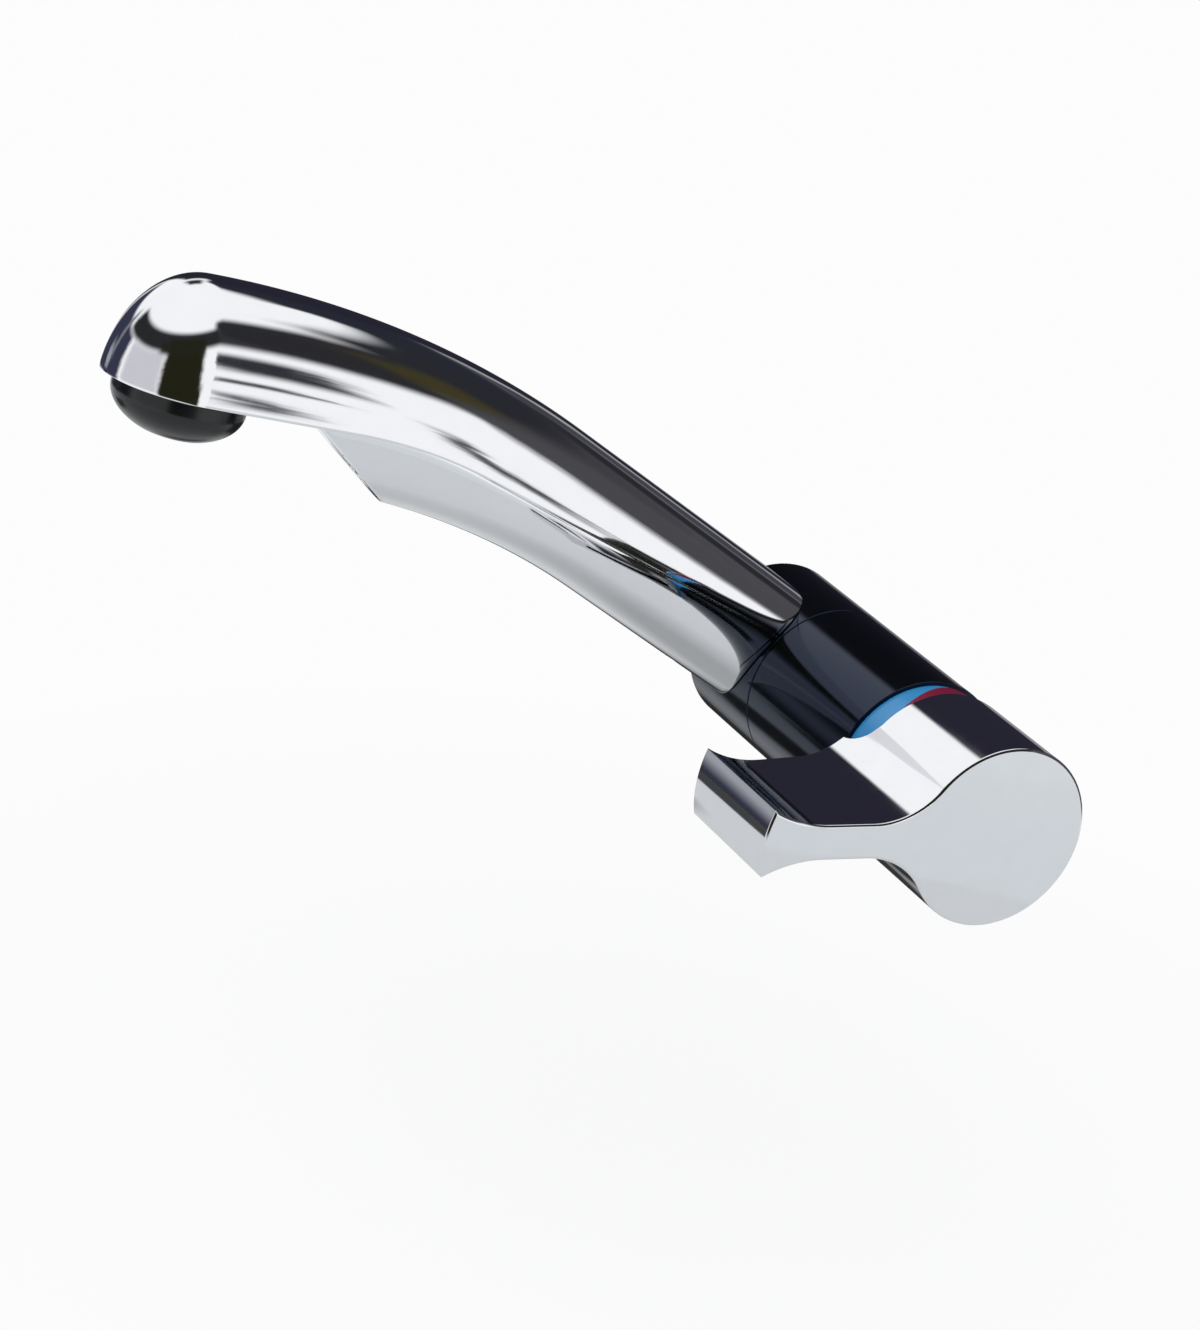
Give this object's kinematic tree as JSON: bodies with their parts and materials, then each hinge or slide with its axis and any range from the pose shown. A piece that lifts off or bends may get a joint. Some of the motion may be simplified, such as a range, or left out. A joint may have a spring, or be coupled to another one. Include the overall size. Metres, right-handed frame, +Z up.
{
  "type": "mixer tap",
  "caption": "Lever mixer tap with a horizontal black barrel, a swivelling chrome spout with a hooked nose, and a paddle lever over the barrel's end.",
  "frame": {"origin": "centre of the panel face that the gasket seats on, on the barrel's axis", "axes": "+X out of the panel along the barrel towards the handle, -Y forward, where spout and lever point, +Z up"},
  "size_m": [0.213, 0.2205, 0.1187],
  "materials": {
    "chrome": "polished",
    "black_lacquer": "high gloss",
    "black_plastic": "gloss",
    "blue_plastic": "satin",
    "red_plastic": "satin",
    "white_plastic": "matt",
    "grey_plastic": "matt",
    "brass": "machined",
    "copper": "drawn",
    "steel": "brushed",
    "rubber": "matt",
    "ceramic": "lapped"
  },
  "bodies": {
    "barrel": {"valve_core": "brass", "wall_flange": "black_lacquer", "panel_gasket": "rubber", "retaining_clip": "steel", "clamp_washer_rubber": "rubber", "clamp_washer_steel": "steel", "shank_nut": "brass", "glide_washer_rear": "white_plastic", "glide_washer_front": "white_plastic", "swivel_seals": "rubber", "stop_pin": "steel", "hot_tail": "copper", "cold_tail": "copper", "tail_seals": "rubber", "body_sleeve": "black_lacquer", "sleeve_seals": "rubber", "index_ring_blue": "blue_plastic", "index_ring_red": "red_plastic", "cartridge_base": "white_plastic", "port_seals": "rubber", "fixed_disc": "ceramic", "cartridge_housing": "white_plastic", "cartridge_nut": "brass"},
    "spout": {"swivel_hub": "black_lacquer", "spout_grub_screw": "steel", "tube_seal": "rubber", "water_tube": "copper", "spout_shell": "chrome", "spout_keel": "chrome", "keel_screw": "steel", "spout_underplate": "grey_plastic", "outlet_socket": "grey_plastic", "outlet_dome": "black_plastic", "outlet_seal": "rubber", "aerator_insert": "white_plastic", "aerator_mesh": "steel"},
    "lever_guide": {"lever_guide": "white_plastic", "pivot_pin": "steel"},
    "lever": {"lever_stem": "steel", "handle": "chrome", "handle_grub_screw": "steel", "handle_plug": "black_plastic"},
    "disc": {"moving_disc": "ceramic", "disc_carrier": "white_plastic"}
  },
  "joints": [
    {"name": "spout_swivel", "type": "hinge", "parent": "barrel", "child": "spout", "pos_m": [0.01995, 0, 0], "axis": [1, 0, 0], "range_deg": [-60, 60]},
    {"name": "temperature", "type": "hinge", "parent": "barrel", "child": "lever_guide", "pos_m": [0.0859, 0, 0], "axis": [1, 0, 0], "range_deg": [-45, 45]},
    {"name": "flow", "type": "hinge", "parent": "lever_guide", "child": "lever", "pos_m": [0.0859, 0, 0], "axis": [0, 0, 1], "range_deg": [0, 20]},
    {"name": "disc_slide", "type": "slide", "parent": "lever_guide", "child": "disc", "axis": [0, 1, 0], "range_m": [-0.006, 0]}
  ],
  "couplings": [
    {"joint": "disc_slide", "follows": "flow", "m_per_rad": -0.016854}
  ]
}
